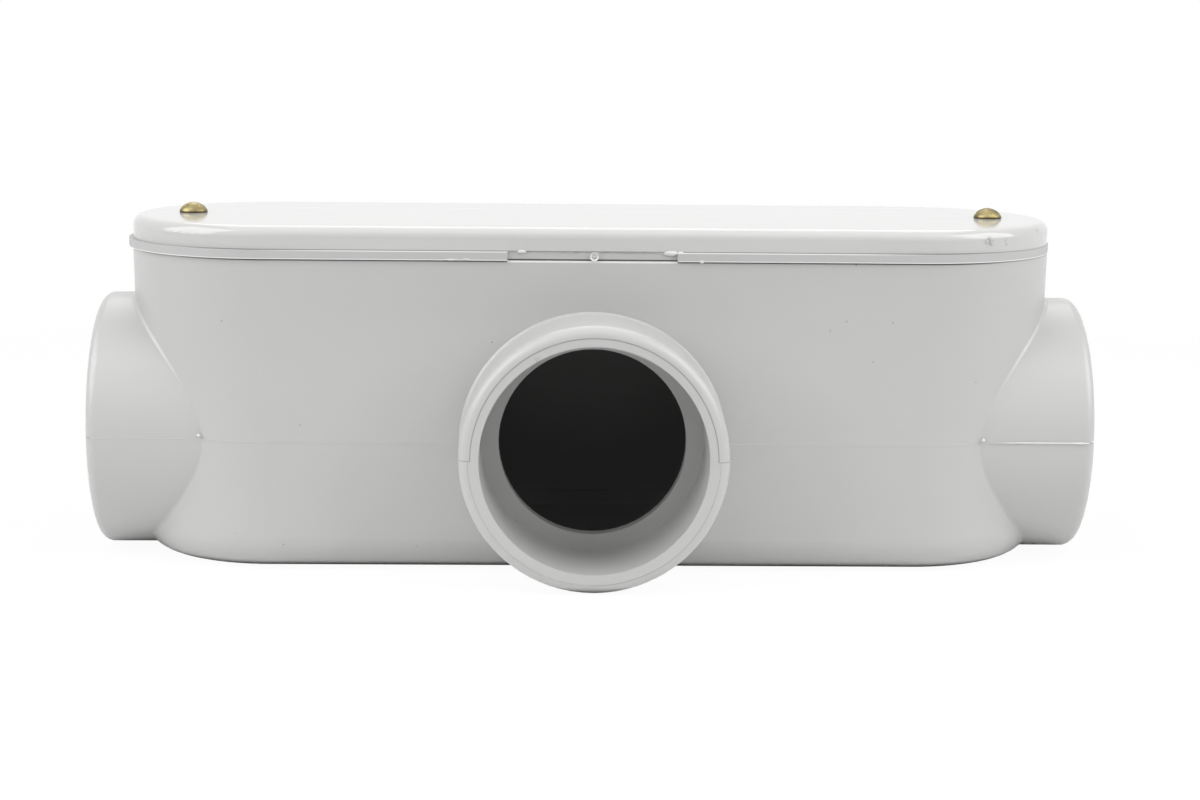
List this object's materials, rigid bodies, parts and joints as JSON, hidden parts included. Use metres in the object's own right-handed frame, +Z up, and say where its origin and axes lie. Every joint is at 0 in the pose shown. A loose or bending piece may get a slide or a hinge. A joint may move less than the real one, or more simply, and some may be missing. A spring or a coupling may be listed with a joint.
{
  "type": "conduit body",
  "caption": "Type T rigid PVC conduit body with socket hubs at both ends and one side, and a gasketed screw-on cover.",
  "frame": {"origin": "on the flat base, straight below the point where the axes of the three hubs cross", "axes": "+X along the two end hubs, -Y out of the side hub, +Z up through the cover"},
  "size_m": [0.2774, 0.1079, 0.0977],
  "materials": {
    "moulded_pvc": "light grey injection-moulded rigid PVC, satin",
    "cover_pvc": "light grey injection-moulded rigid PVC, smooth and glossy on top",
    "gasket": "soft grey flexible PVC, matt",
    "brass": "plain turned brass, slightly dulled"
  },
  "bodies": {
    "housing": {"housing": "moulded_pvc"},
    "cover": {"cover": "cover_pvc", "gasket": "gasket"},
    "screw_left": {"screw_left": "brass"},
    "screw_right": {"screw_right": "brass"}
  },
  "joints": [
    {"name": "cover_lift", "type": "slide", "parent": "housing", "child": "cover", "axis": [0, 0, 1], "range_m": [0, 0.06]},
    {"name": "screw_left_turn", "type": "hinge", "parent": "cover", "child": "screw_left", "pos_m": [-0.113, 0, 0.0948], "axis": [0, 0, 1], "range_deg": [0, 4640]},
    {"name": "screw_right_turn", "type": "hinge", "parent": "cover", "child": "screw_right", "pos_m": [0.113, 0, 0.0948], "axis": [0, 0, 1], "range_deg": [0, 4640]}
  ]
}
